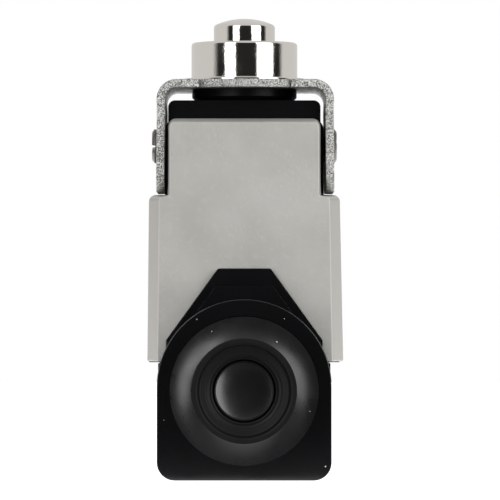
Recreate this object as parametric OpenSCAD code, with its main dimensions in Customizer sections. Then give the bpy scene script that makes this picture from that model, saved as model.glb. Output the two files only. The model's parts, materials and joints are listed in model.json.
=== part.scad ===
// Plunger limit switch: moulded housing and cover, stamped head yoke, turned plunger head,
// double-break contact block and a rubber cable entry.
// Millimetres, +Z up. The plunger runs on the Z axis, the foot stands on z = 0 and the
// cable nose points to -Y.

/* [Housing] */
// Width between the two mounting faces
body_w = 30.4; // [28:0.2:38]
// Width of the head block between the yoke legs
head_w = 24.2; // [23:0.2:25]
// Width of the foot that carries the cable nose
foot_w = 27; // [25.6:0.2:32]
// Height from the foot to the top of the head block
body_h = 59.8; // [59:0.1:74]
// Height of the shoulder below the yoke legs
shoulder_z = 44.9; // [44.9:0.1:47]
// From the plunger axis to the back face
back_y = 14; // [13.8:0.2:20]
// From the plunger axis to the front rim of the housing
rim_y = 10; // [9.8:0.1:12]
// Wall thickness
wall = 2; // [1.6:0.1:2.4]
// Radius of the foot's lower corners
foot_r = 2.8; // [1:0.1:4]

/* [Cover] */
// Width of the cover at its lower edge
cover_w = 31; // [29:0.2:38]
// How much narrower the cover is at the shoulder
cover_taper = 0.7; // [0:0.1:1]
// Thickness of the cover
cover_t = 1.75; // [1.2:0.05:2]
// Height of the cover's lower edge
cover_z = 18.3; // [17:0.1:19]
// How far the cover stands in front of the rim
cover_out = 3.5; // [2.8:0.1:5]
// Depth of the cover's side flanges behind the rim
flange_back = 6; // [4:0.1:8]
// Step from the cover's top edge up to the top of the head block
cover_drop = 2.9; // [1:0.1:4]
// Width of the bevel along the cover's upright front edges
bevel_w = 1.5; // [0.4:0.1:2]
// Depth of that bevel
bevel_d = 2.2; // [0.4:0.1:3]

/* [Head] */
// Diameter of the plunger
plunger_d = 9.8; // [8:0.1:10.4]
// Travel of the plunger
travel = 3.5; // [2:0.1:3.5]
// Height of the plunger above the bushing at rest
plunger_out = 3.9; // [3.6:0.1:6]
// Radius of the plunger's domed end
dome_r = 11; // [7:0.1:14]
// Diameter of the bushing
bushing_d = 17; // [16.4:0.1:20]
// Height of the bushing above its flange
bushing_h = 5.8; // [4.8:0.1:9]
// Diameter of the bushing's flange
flange_d = 20; // [18:0.1:24]
// Thickness of the bushing's flange
flange_t = 0.5; // [0.4:0.1:1.2]
// Height of the rubber collar under the yoke
collar_h = 2; // [1.6:0.1:3]

/* [Yoke] */
// Outer width of the yoke
yoke_w = 28.1; // [27.6:0.1:30.4]
// Depth of the yoke's strap
yoke_d = 24; // [20:0.2:26]
// Thickness of the yoke's sheet
yoke_t = 1.3; // [1:0.1:1.5]
// Outer radius of the yoke's two bends
yoke_r = 3.15; // [2:0.05:4]

/* [Cable nose] */
// Height of the cable axis
cable_z = 14; // [13.6:0.1:15]
// Diameter of the hole for the cable
cable_d = 9.8; // [7:0.1:11]
// From the plunger axis to the front face of the gland cap
cap_y = 27; // [26:0.5:34]
// Thickness of the gland cap
cap_t = 7; // [6:0.1:9]
// Height of the top of the nose on the cover
nose_top_z = 32.9; // [31:0.1:36]
// Width of the flat at the top of the nose
nose_top_w = 8.2; // [6:0.1:12]
// Width of the nose between its upright sides
nose_w = 24.4; // [24:0.1:25]
// Height at which the upright sides end
nose_side_z = 21.8; // [20:0.1:24]
// How far the rubber cone stands in front of the gland cap
cone_h = 6; // [3:0.1:9]
// Height of the dished ring on the rubber bushing's front
cone_rise = 1.3; // [0.5:0.1:2]
// Diameter of the cone where it leaves the gland cap
cone_d = 23.2; // [22:0.1:23.6]
// Diameter of the cone's end
cone_tip_d = 16.3; // [15:0.1:19]

/* [Mounting] */
// Distance between the two mounting holes
hole_pitch = 20; // [16:0.5:20]
// Diameter of the mounting holes
hole_d = 4.3; // [3.2:0.1:4.6]

/* [Contacts] */
// Width of the contact block
block_w = 21.6; // [21.2:0.1:22]
// Opening gap of the normally open contacts
open_gap = 3; // [1.8:0.1:3]
// Diameter of the contact tips
tip_d = 2.4; // [1.6:0.1:2.8]
// Diameter of the push rod
rod_d = 3.2; // [2.4:0.1:4]

/* [Hidden] */
$fn = 96;

// General clearances
slip = 0.05;                // round pieces that slide in each other
gap = 0.15;                 // moulded pieces that fit together
skin = 0.02;                // faces that only meet
over = 1;                   // how far a cutter runs past a face

// Housing
front_y = rim_y + cover_out;
flange_y = rim_y - flange_back;
foot_top = cover_z - gap;
sleeve_r = hole_d / 2 + 0.45;
sleeve_y = back_y - 5;
sleeve_z = (foot_top + shoulder_z - hole_pitch) / 2;
sleeve_boss_r = sleeve_r + 0.8;
side_w = body_w - 4;        // housing width inside the cover's flanges
pad_top = body_h - 2.6;     // top of the pads behind the yoke's legs
cover_top = body_h - cover_drop;

// Shelf that guides the push rod
rod_r = rod_d / 2;
shelf_z = shoulder_z + 0.6;
shelf_t = 2.5;
shelf_top = shelf_z + shelf_t;

// Head
plate_z = body_h + collar_h;
flange_z = plate_z + yoke_t;
bushing_top = flange_z + flange_t + bushing_h;
plunger_top = bushing_top + plunger_out;
plunger_r = plunger_d / 2;
lip_r = plunger_r + 0.9;    // stop collar at the plunger's inner end
lip_t = 1.2;
lip_bore_r = lip_r + 0.2;
spigot_r = lip_bore_r + 0.9;
nut_t = 1.8;
nut_z = body_h - wall - nut_t;
spigot_z = nut_z - 0.5;
stop_z = body_h - 1.3;      // step in the bushing that stops the plunger
lip_z = stop_z - skin - lip_t;
wiper_z = bushing_top - 2.6;
wiper_wire = 0.55;
nut_flats = 2 * spigot_r + 2.4;
rod_top = lip_z + 6;
spring_r = plunger_r - 0.6; // coil radius of the return spring
spring_wire = 0.4;

// Yoke
leg_z = shoulder_z + 0.4;
leg_in = yoke_w / 2 - yoke_t;
ear_r = yoke_d / 2 + 2;     // round ears in front of and behind the bushing
yoke_hole_r = spigot_r + 0.1;
screw_z = shoulder_z + 7.9;
screw_r = 1.5;
screw_head_r = 2.75;
screw_head_h = 0.75;
insert_r = 2.2;
insert_in = head_w / 2 - 2.8;

// Cable nose
plateau_y = front_y + 1.3;
neck_y = cap_y - cap_t;
arch_r = foot_w / 2 + 0.1;
arch_z = cable_z + 0.55;
collar_r = arch_r - 1;      // round collar on the neck that the gland cap snaps over
collar_y = neck_y + 4;
bushing_flange = 1.5;
tunnel_r = collar_r - 1.6;
thrust_y = neck_y - 3.2;
thrust_t = 1;
tunnel_back_r = tunnel_r - 2.3;
cone_y = cap_y + cone_h;
plug_y = cone_y - 2.6;
cable_r = cable_d / 2;

// Contact block
block_h = 23.5;
block_top = shoulder_z - 2 * wall - gap;
block_z = block_top - block_h;
block_front_y = 4.4;
block_rear_y = sleeve_y - sleeve_boss_r - gap;
slider_w = 5;
slider_top = shelf_z - 0.5;
slider_z = block_z + 1.3 + travel;
bridge_x = 8.2;
bridge_w = 3.2;
bridge_t = 0.6;
tip_x = 6.8;
tip_h = 0.5;
tip_r = tip_d / 2;
window_x = 8.5;
window_y = 2;
strip_t = 0.8;
nc_z = block_z + 16.5;      // underside of the closed bridge
no_z = block_z + 7.5;       // underside of the open bridge
nc_strip_z = nc_z + bridge_t + 2 * tip_h + skin;
no_strip_z = no_z - open_gap - 2 * tip_h - skin - strip_t;
nc_floor = nc_z - travel - 0.3;
terminal_x = 8;
terminal_w = 5.2;
tab_t = 0.8;
tab_h = 5.2;
clamp_t = 1;
clamp_y = block_front_y + tab_t;
terminal_head_r = 2.6;
terminal_head_h = 1.5;
terminal_shank_r = 1.4;
nc_screw_z = nc_strip_z + strip_t + terminal_shank_r + 0.3;
no_screw_z = no_strip_z + strip_t + terminal_shank_r + 0.9;
block_screw_x = 6;
block_screw_r = 1.2;
block_screw_z = nc_floor - block_screw_r - 0.6;

// Box from -half to +half in X
module slab(half, y0, y1, z0, z1) {
    translate([-half, y0, z0]) cube([2 * half, y1 - y0, z1 - z0]);
}

// Box on one side (s = -1 or 1), from x0 to x1 away from the middle
module side_box(s, x0, x1, y0, y1, z0, z1) {
    translate([s > 0 ? x0 : -x1, y0, z0]) cube([x1 - x0, y1 - y0, z1 - z0]);
}

module rod_x(r, x0, x1, y, z) {
    translate([x0, y, z]) rotate([0, 90, 0]) cylinder(h = x1 - x0, r = r);
}

module rod_y(r, y0, y1, x, z) {
    translate([x, y0, z]) rotate([-90, 0, 0]) cylinder(h = y1 - y0, r = r);
}

module rod_z(r, z0, z1) {
    translate([0, 0, z0]) cylinder(h = z1 - z0, r = r);
}

// Cylinder on one side along X, from x0 to x1 away from the middle
module side_rod(s, r, x0, x1, y, z) {
    rod_x(r, s > 0 ? x0 : -x1, s > 0 ? x1 : -x0, y, z);
}

// Extrudes an XZ outline from y0 to y1
module along_y(y0, y1) {
    translate([0, y1, 0]) rotate([90, 0, 0]) linear_extrude(y1 - y0) children();
}

// Turns a (radius, distance) outline about the cable axis, with the distance pointing to -Y
module about_cable() {
    translate([0, 0, cable_z]) rotate([90, 0, 0]) rotate_extrude() children();
}

// Outline from z0 to z1 with its two upper corners rounded
module round_top(half, z0, z1, r) {
    translate([-half, z0]) square([2 * half, z1 - z0 - r]);
    translate([-half + r, z0]) square([2 * (half - r), z1 - z0]);
    for (s = [-1, 1]) translate([s * (half - r), z1 - r]) circle(r);
}

// Outline of the foot, flat below with rounded corners and open to z1
module foot_outline(half, z1) {
    translate([-half, foot_r]) square([2 * half, z1 - foot_r]);
    translate([-half + foot_r, 0]) square([2 * (half - foot_r), z1]);
    for (s = [-1, 1]) translate([s * (half - foot_r), foot_r]) circle(foot_r);
}

// Foot outline under a round arch
module arch_outline(r) {
    foot_outline(r, arch_z);
    translate([0, arch_z]) circle(r);
}

// Outline of the nose above the foot, with its top and its sloping sides moved in
module nose_outline(top_in, side_in) {
    a = nose_top_w / 2;
    b = nose_w / 2;
    rise = nose_top_z - nose_side_z;
    run = b - a;
    slope = sqrt(rise * rise + run * run);
    nx = rise / slope;
    nz = run / slope;
    reach = nx * a + nz * nose_top_z - side_in;
    top = nose_top_z - top_in;
    side = b - side_in;
    xt = (reach - nz * top) / nx;
    zs = (reach - nx * side) / nz;
    polygon([[-side, cable_z], [side, cable_z], [side, zs], [xt, top], [-xt, top], [-side, zs]]);
}

// Helical spring of round wire between z0 and z1
module coil(r, wire, turns, z0, z1, sides = 8, steps = 20) {
    rings = turns * steps;
    rise = z1 - z0 - 2 * wire;
    points = [
        for (i = [0:rings], j = [0:sides - 1])
            let (a = 360 * i / steps, b = 360 * j / sides, q = r + wire * cos(b))
            [q * cos(a), q * sin(a), z0 + wire + rise * i / rings + wire * sin(b)]
    ];
    walls = [
        for (i = [0:rings - 1], j = [0:sides - 1])
            let (k = (j + 1) % sides, p = i * sides, n = p + sides)
            each [[p + j, n + j, n + k], [p + j, n + k, p + k]]
    ];
    first = [for (j = [0:sides - 1]) j];
    last = [for (j = [sides - 1:-1:0]) rings * sides + j];
    polyhedron(points, concat(walls, [first, last]), convexity = 10);
}

// Hollow housing shell
module housing_shell() {
    difference() {
        union() {
            along_y(-rim_y, back_y) round_top(head_w / 2, shoulder_z - over, body_h, 1.1);
            along_y(-flange_y, back_y) round_top(body_w / 2, foot_top, shoulder_z, 1.2);
            along_y(-flange_y, back_y - 2) round_top(leg_in - slip, shoulder_z - over, pad_top, 2);
            slab(side_w / 2, -rim_y, back_y, cover_z + cover_t + gap, shoulder_z - cover_t - gap);
            slab(head_w / 2 - gap, -rim_y, back_y, foot_top, shoulder_z);
            along_y(-neck_y, back_y) foot_outline(foot_w / 2, foot_top);
            along_y(-plateau_y, -flange_y) nose_outline(0, 0);
            along_y(-neck_y, -flange_y) nose_outline(2.7, 1.25);
            along_y(-neck_y, -front_y) arch_outline(foot_w / 2);
            rod_y(collar_r, -collar_y, -neck_y + over, 0, cable_z);
        }
        slab(head_w / 2 - wall, -rim_y - over, back_y - wall, foot_top, cover_top - cover_t);
        slab(head_w / 2 - wall, -rim_y + wall - 2 * gap, back_y - wall, foot_top, body_h - wall);
        slab(side_w / 2 - wall, -rim_y + wall, back_y - wall, wall, shoulder_z - 2 * wall);
        slab(side_w / 2 - wall, -rim_y - over, back_y - wall, nose_top_z, shoulder_z - 2 * wall);
    }
}

// Shelf, screw bosses and seats inside and on the shell
module housing_features() {
    slab(head_w / 2 - wall + gap, -rim_y + wall, back_y - wall + gap, shelf_z, shelf_top);
    for (z = [sleeve_z, sleeve_z + hole_pitch])
        rod_x(sleeve_boss_r, -body_w / 2 + wall / 2, body_w / 2 - wall / 2, sleeve_y, z);
    for (s = [-1, 1]) {
        rod_y(2.4, block_rear_y + gap, back_y - wall / 2, s * block_screw_x, block_screw_z);
        side_rod(s, insert_r + 0.9, insert_in - 0.3, leg_in, 0, screw_z);
    }
}

module base_housing() {
    color([0.03, 0.03, 0.035]) difference() {
        union() {
            housing_shell();
            housing_features();
        }
        rod_z(spigot_r + slip, body_h - wall - over, body_h + over);
        rod_z(rod_r + slip, shelf_z - over, shelf_top + over);
        rod_z(rod_r + 1.6, shelf_top - 1.4, shelf_top + over);
        rod_y(tunnel_r, -collar_y - over, -thrust_y, 0, cable_z);
        rod_y(tunnel_back_r, -thrust_y - over, -rim_y + 2 * wall, 0, cable_z);
        for (z = [sleeve_z, sleeve_z + hole_pitch])
            rod_x(sleeve_r + skin, -body_w / 2 - over, body_w / 2 + over, sleeve_y, z);
        for (s = [-1, 1]) {
            rod_y(block_screw_r + skin, block_rear_y, back_y - wall, s * block_screw_x, block_screw_z);
            side_rod(s, insert_r + skin, insert_in - over, leg_in + over, 0, screw_z);
        }
    }
}

// Outline of the cover's wide part, a little narrower at the shoulder
module cover_wide_outline(inset) {
    low = cover_w / 2 - inset;
    high = (cover_w - cover_taper) / 2 - inset;
    r = 0.9;
    z1 = shoulder_z - inset;
    polygon([
        [-low, cover_z], [low, cover_z], [high, z1 - r], [high - r, z1],
        [-high + r, z1], [-high, z1 - r]
    ]);
    for (s = [-1, 1]) translate([s * (high - r), z1 - r]) circle(r);
}

// Slanted cuts along both upright front edges of a part that is 2 * half wide
module front_bevels(half, z0, z1) {
    slant = bevel_w / bevel_d;
    translate([0, 0, z0]) linear_extrude(z1 - z0) for (s = [-1, 1]) polygon([
        [s * (half - bevel_w - over * slant), -front_y - over],
        [s * (half + over), -front_y - over],
        [s * (half + over), -front_y + bevel_d + over / slant]
    ]);
}

module front_cover() {
    narrow = head_w / 2 - 0.1;
    color([0.71, 0.71, 0.69]) difference() {
        union() {
            along_y(-front_y, -flange_y - gap) cover_wide_outline(0);
            along_y(-front_y, -rim_y - skin) round_top(narrow, shoulder_z - 2, cover_top, 1.2);
        }
        slab(side_w / 2 + gap, -front_y + cover_t, -flange_y,
             cover_z + cover_t, shoulder_z - cover_t);
        slab(head_w / 2 + skin, -rim_y - skin, -flange_y, shoulder_z - 2 * cover_t, shoulder_z + over);
        slab(narrow - cover_t, -front_y + cover_t, -rim_y, shoulder_z - 2 * cover_t, cover_top - cover_t);
        along_y(-front_y - over, -flange_y) {
            nose_outline(-gap, -gap);
            translate([-nose_w / 2 - gap, 0]) square([nose_w + 2 * gap, cable_z + 1]);
        }
        front_bevels(cover_w / 2, cover_z - over, shoulder_z + over);
        front_bevels(narrow, shoulder_z, cover_top + over);
    }
}

// Flat rubber seal on the housing's front rim
module cover_gasket() {
    color([0.08, 0.08, 0.08]) along_y(-front_y + cover_t + skin, -rim_y - skin) difference() {
        union() {
            translate([-side_w / 2, cover_z + cover_t + gap])
                square([side_w, shoulder_z - cover_z - 2 * (cover_t + gap)]);
            translate([-head_w / 2 + cover_t + 2 * gap, shoulder_z - 2 * cover_t])
                square([head_w - 2 * cover_t - 4 * gap, cover_top - shoulder_z + cover_t - gap]);
        }
        translate([-side_w / 2 + wall, cable_z])
            square([side_w - 2 * wall, shoulder_z - 2 * wall - cable_z]);
        translate([-head_w / 2 + 2 * wall, shoulder_z - 3 * wall])
            square([head_w - 4 * wall, body_h - shoulder_z]);
        nose_outline(-2 * gap, -2 * gap);
    }
}

// U-shaped cross-section of the yoke
module yoke_section() {
    difference() {
        round_top(yoke_w / 2, leg_z, flange_z, yoke_r);
        round_top(leg_in, leg_z - over, plate_z, yoke_r - yoke_t);
    }
}

// Side view of the strap, with rounded lower corners on the legs
module yoke_side_outline() {
    r = 2.5;
    half = yoke_d / 2;
    translate([-half, leg_z + r]) square([yoke_d, flange_z - leg_z - r]);
    translate([-half + r, leg_z]) square([yoke_d - 2 * r, flange_z - leg_z]);
    for (s = [-1, 1]) translate([s * (half - r), leg_z + r]) circle(r);
}

module head_yoke() {
    color([0.62, 0.63, 0.62]) difference() {
        union() {
            intersection() {
                along_y(-yoke_d / 2, yoke_d / 2) yoke_section();
                translate([-yoke_w, 0, 0]) rotate([90, 0, 90])
                    linear_extrude(2 * yoke_w) yoke_side_outline();
            }
            intersection() {
                rod_z(ear_r, plate_z, flange_z);
                slab(leg_in - 2, -ear_r, ear_r, plate_z, flange_z);
            }
        }
        rod_z(yoke_hole_r, plate_z - over, flange_z + over);
        rod_x(screw_r + 0.2, -yoke_w, yoke_w, 0, screw_z);
    }
}

// Slotted cheese-head screws that hold the yoke's legs
module yoke_screws() {
    slot_w = 0.9;
    slot_h = 0.4;
    head_end = yoke_w / 2 + skin + screw_head_h;
    color([0.75, 0.74, 0.72]) for (s = [-1, 1]) difference() {
        union() {
            side_rod(s, screw_head_r, yoke_w / 2 + skin, head_end, 0, screw_z);
            side_rod(s, screw_r, insert_in + 0.2, yoke_w / 2 + skin, 0, screw_z);
        }
        side_box(s, head_end - slot_h, head_end + over, -screw_head_r - over, screw_head_r + over,
                 screw_z - slot_w / 2, screw_z + slot_w / 2);
    }
}

// Threaded brass inserts behind the yoke's legs
module yoke_inserts() {
    color([0.78, 0.62, 0.3]) for (s = [-1, 1]) difference() {
        side_rod(s, insert_r, insert_in, leg_in - skin, 0, screw_z);
        side_rod(s, screw_r + skin, insert_in - over, leg_in + over, 0, screw_z);
    }
}

// Outline of the bushing, radius against height
module bushing_outline() {
    bore = plunger_r + slip;
    groove = plunger_r + 2 * wiper_wire + 0.1;
    groove_h = 2 * wiper_wire + 0.2;
    top_r = 0.45;
    r = bushing_d / 2;
    difference() {
        union() {
            translate([bore, spigot_z]) square([spigot_r - bore, bushing_top - spigot_z]);
            translate([bore, flange_z]) square([r - bore, bushing_top - flange_z - top_r]);
            translate([bore, flange_z]) square([r - bore - top_r, bushing_top - flange_z]);
            translate([r - top_r, bushing_top - top_r]) circle(top_r);
            polygon([
                [bore, flange_z], [flange_d / 2, flange_z], [flange_d / 2, flange_z + flange_t / 2],
                [flange_d / 2 - 0.35, flange_z + flange_t], [bore, flange_z + flange_t]
            ]);
        }
        translate([0, spigot_z - over]) square([lip_bore_r, stop_z - spigot_z + over]);
        translate([0, wiper_z - groove_h / 2]) square([groove, groove_h]);
        polygon([
            [bore - over, bushing_top - over], [bore, bushing_top - 0.35],
            [bore + 0.35, bushing_top], [bore - over, bushing_top + over]
        ]);
    }
}

module plunger_bushing() {
    color([0.85, 0.84, 0.82]) rotate_extrude() bushing_outline();
}

// Rubber collar squeezed between the housing and the yoke
module head_collar() {
    r = bushing_d / 2 - 0.1;
    cut = 0.7;
    color([0.05, 0.05, 0.05]) rotate_extrude() polygon([
        [spigot_r + slip, body_h + skin], [r - cut, body_h + skin], [r, body_h + cut],
        [r, plate_z - skin], [spigot_r + slip, plate_z - skin]
    ]);
}

module bushing_nut() {
    color([0.8, 0.78, 0.7]) difference() {
        translate([0, 0, nut_z]) cylinder(h = nut_t - skin, r = nut_flats / 2 / cos(30), $fn = 6);
        rod_z(spigot_r + slip, nut_z - over, nut_z + nut_t + over);
    }
}

module wiper_ring() {
    color([0.08, 0.08, 0.08]) translate([0, 0, wiper_z]) rotate_extrude()
        translate([plunger_r + skin + wiper_wire, 0]) circle(wiper_wire);
}

// Plunger with a domed end outside and a stop collar inside
module plunger() {
    color([0.85, 0.84, 0.82]) difference() {
        union() {
            intersection() {
                rod_z(plunger_r, lip_z, plunger_top);
                translate([0, 0, plunger_top - dome_r]) union() {
                    sphere(dome_r);
                    translate([0, 0, -plunger_top]) cylinder(h = plunger_top, r = dome_r);
                }
            }
            rod_z(lip_r, lip_z, lip_z + lip_t);
        }
        rod_z(rod_r + skin, lip_z - over, rod_top + skin);
    }
}

module push_rod() {
    color([0.7, 0.7, 0.72]) rod_z(rod_r, slider_top + skin, rod_top);
}

module return_spring() {
    color([0.6, 0.6, 0.62]) coil(spring_r, spring_wire, 5, shelf_top + skin, lip_z - skin);
}

// Lip seal around the push rod, in its seat on the shelf
module rod_seal() {
    r = rod_r + 1.55;
    color([0.1, 0.1, 0.1]) rotate_extrude() polygon([
        [rod_r + skin, shelf_top - 1.35], [r, shelf_top - 1.35], [r, shelf_top + 0.3],
        [rod_r + 0.7, shelf_top + 0.9], [rod_r + skin, shelf_top + 0.9]
    ]);
}

// Cap that snaps over the neck's collar and holds the rubber bushing
module gland_cap() {
    mouth_r = cone_d / 2 + 0.05;
    color([0.03, 0.03, 0.035]) difference() {
        along_y(-cap_y, -neck_y - skin) arch_outline(arch_r);
        rod_y(mouth_r, -cap_y - over, -neck_y + over, 0, cable_z);
        rod_y(collar_r + slip, -collar_y - bushing_flange - skin, -neck_y + over, 0, cable_z);
        about_cable() polygon([
            [0, cap_y - 0.8], [mouth_r, cap_y - 0.8], [mouth_r + 0.7, cap_y],
            [mouth_r + 0.7, cap_y + over], [0, cap_y + over]
        ]);
    }
}

// Rubber cable bushing: clamped flange, dished front and a stepped mouth
module cable_bushing() {
    base_r = cone_d / 2;
    tip_r = cone_tip_d / 2;
    flange_y1 = collar_y + bushing_flange - skin;
    color([0.06, 0.06, 0.065]) about_cable() polygon([
        [cable_r, thrust_y + thrust_t + skin], [tunnel_r - slip, thrust_y + thrust_t + skin],
        [tunnel_r - slip, collar_y + skin], [collar_r - slip, collar_y + skin],
        [collar_r - slip, flange_y1], [base_r, flange_y1], [base_r, cone_y - cone_rise - 0.8],
        [base_r - 0.2, cone_y - cone_rise - 0.3], [base_r - 0.7, cone_y - cone_rise],
        [base_r - 1.9, cone_y - 0.7 * cone_rise], [tip_r + 0.4, cone_y - 0.2 * cone_rise],
        [tip_r, cone_y], [tip_r - 0.9, cone_y], [tip_r - 1.2, cone_y - 0.9],
        [tip_r - 1.9, cone_y - 0.9], [cable_r + 0.9, cone_y - 1.7],
        [cable_r + 0.5, cone_y - 2], [cable_r, cone_y - 2.2]
    ]);
}

module thrust_ring() {
    color([0.85, 0.85, 0.8]) about_cable() translate([cable_r + 0.3, thrust_y + skin])
        square([tunnel_r - slip - cable_r - 0.3, thrust_t - skin]);
}

// Plug with a dished face that closes the cable hole until a cable is fitted
module blanking_plug() {
    r = cable_r - skin;
    dish_r = 2.2 * r;
    color([0.02, 0.02, 0.022]) translate([0, 0, cable_z]) rotate([90, 0, 0]) difference() {
        translate([0, 0, thrust_y + 2]) cylinder(h = plug_y - thrust_y - 2, r = r);
        translate([0, 0, thrust_y]) cylinder(h = plug_y - thrust_y - 3.2, r = r - 1);
        translate([0, 0, plug_y - 1 + dish_r]) sphere(dish_r);
    }
}

module mounting_sleeves() {
    color([0.7, 0.7, 0.7]) for (z = [sleeve_z, sleeve_z + hole_pitch]) difference() {
        rod_x(sleeve_r, -body_w / 2, body_w / 2, sleeve_y, z);
        rod_x(hole_d / 2, -body_w / 2 - over, body_w / 2 + over, sleeve_y, z);
    }
}

// Everything that the contact block has to leave free
module block_hollows() {
    half = slider_w / 2 + 0.2;
    slab(half, -half, half, block_z + 1.1, block_top + over);
    slab(window_x, -window_y, window_y, nc_floor, nc_strip_z);
    slab(window_x, -window_y, window_y, no_strip_z + strip_t, no_z + bridge_t + 0.4);
    for (s = [-1, 1]) {
        for (z = [nc_strip_z, no_strip_z])
            side_box(s, tip_x - tip_r - 2 * skin, block_w / 2 + over, -block_front_y - over,
                     bridge_w / 2 + skin, z - skin, z + strip_t + skin);
        for (z = [nc_screw_z, no_screw_z])
            rod_y(terminal_shank_r + skin, -block_front_y - over, -window_y - 0.3, s * terminal_x, z);
        rod_y(block_screw_r + slip, -block_front_y - over, block_rear_y + over,
              s * block_screw_x, block_screw_z);
    }
}

module block_rear() {
    color([0.12, 0.12, 0.13]) difference() {
        slab(block_w / 2, 0, block_rear_y, block_z, block_top);
        block_hollows();
    }
}

module block_front() {
    color([0.12, 0.12, 0.13]) difference() {
        slab(block_w / 2, -block_front_y, -skin, block_z, block_top);
        block_hollows();
    }
}

module block_screws() {
    head_y = block_front_y + skin;
    color([0.75, 0.74, 0.72]) for (s = [-1, 1]) difference() {
        union() {
            rod_y(1.9, -head_y - 1.5, -head_y, s * block_screw_x, block_screw_z);
            rod_y(block_screw_r, -head_y, back_y - wall - 1, s * block_screw_x, block_screw_z);
        }
        translate([s * block_screw_x - 2, -head_y - 1.5 - over, block_screw_z - 0.35])
            cube([4, over + 0.8, 0.7]);
    }
}

// Slider that carries the two contact bridges
module contact_slider() {
    half = slider_w / 2;
    slot = bridge_w / 2 + slip;
    color([0.9, 0.9, 0.87]) difference() {
        slab(half, -half, half, slider_z, slider_top);
        slab(half + over, -slot, slot, nc_z - 3, nc_z + bridge_t + skin);
        slab(half + over, -slot, slot, no_z - skin, no_z + bridge_t + 3);
    }
}

module bridge(z) {
    color([0.8, 0.62, 0.32]) slab(bridge_x, -bridge_w / 2, bridge_w / 2, z, z + bridge_t);
}

// A left and a right contact tip, from z up
module tip_pair(z) {
    color([0.85, 0.85, 0.87]) for (s = [-1, 1]) translate([s * tip_x, 0, z])
        cylinder(h = tip_h, r = tip_r);
}

module nc_bridge_tips() {
    tip_pair(nc_z + bridge_t);
}

module no_bridge_tips() {
    tip_pair(no_z - tip_h);
}

module fixed_tips() {
    tip_pair(nc_strip_z - tip_h);
    tip_pair(no_strip_z + strip_t);
}

module contact_spring(z0, z1) {
    color([0.65, 0.65, 0.67]) coil(1.1, 0.2, 4, z0, z1, 6, 16);
}

// Fixed contact strip with a drilled tab in front of the block
module terminal(s, z, hole_z) {
    x0 = terminal_x - terminal_w / 2;
    tab_z = hole_z > z ? z : z - tab_h + strip_t;
    color([0.8, 0.62, 0.32]) difference() {
        union() {
            side_box(s, tip_x - tip_r - skin, terminal_x + terminal_w / 2,
                     -clamp_y, bridge_w / 2, z, z + strip_t);
            side_box(s, x0, x0 + terminal_w, -clamp_y, -block_front_y - skin, tab_z, tab_z + tab_h);
        }
        rod_y(terminal_shank_r + skin, -clamp_y - over, -block_front_y + over / 2,
              s * terminal_x, hole_z);
    }
}

// Clamp plates and screws at all four terminals
module at_terminals() {
    for (s = [-1, 1], z = [nc_screw_z, no_screw_z]) translate([s * terminal_x, 0, z]) children();
}

module terminal_clamps() {
    half = terminal_w / 2 - 0.1;
    color([0.75, 0.75, 0.72]) at_terminals() difference() {
        translate([-half, -clamp_y - clamp_t - skin, -half]) cube([2 * half, clamp_t, 2 * half]);
        rod_y(terminal_shank_r + slip, -clamp_y - clamp_t - over, -clamp_y + over, 0, 0);
    }
}

module terminal_screws() {
    head_y = clamp_y + clamp_t + 2 * skin;
    slot_w = 0.8;
    color([0.75, 0.74, 0.72]) at_terminals() difference() {
        union() {
            rod_y(terminal_head_r, -head_y - terminal_head_h, -head_y, 0, 0);
            rod_y(terminal_shank_r, -head_y, -window_y - 0.4, 0, 0);
        }
        translate([-terminal_head_r - over, -head_y - terminal_head_h - over, -slot_w / 2])
            cube([2 * (terminal_head_r + over), over + 0.9, slot_w]);
    }
}

base_housing();
front_cover();
cover_gasket();
head_yoke();
yoke_screws();
yoke_inserts();
plunger_bushing();
head_collar();
bushing_nut();
wiper_ring();
plunger();
push_rod();
return_spring();
rod_seal();
gland_cap();
cable_bushing();
thrust_ring();
blanking_plug();
mounting_sleeves();
block_rear();
block_front();
block_screws();
contact_slider();
bridge(nc_z);  // nc_bridge
bridge(no_z);  // no_bridge
nc_bridge_tips();
no_bridge_tips();
contact_spring(nc_z - 3, nc_z - skin);  // nc_contact_spring
contact_spring(no_z + bridge_t + skin, no_z + bridge_t + 3);  // no_contact_spring
terminal(-1, nc_strip_z, nc_screw_z);  // nc_terminal_left
terminal(1, nc_strip_z, nc_screw_z);  // nc_terminal_right
terminal(-1, no_strip_z, no_screw_z);  // no_terminal_left
terminal(1, no_strip_z, no_screw_z);  // no_terminal_right
fixed_tips();
terminal_clamps();
terminal_screws();
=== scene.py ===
# %% [markdown]
# # A plunger limit switch
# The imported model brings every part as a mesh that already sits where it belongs, in metres, with +Z up
# and the cable entry facing -Y. Everything made here takes its place from that frame, so that the
# finished picture and the moving model always agree.

# %% The frame
import json
import math

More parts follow.
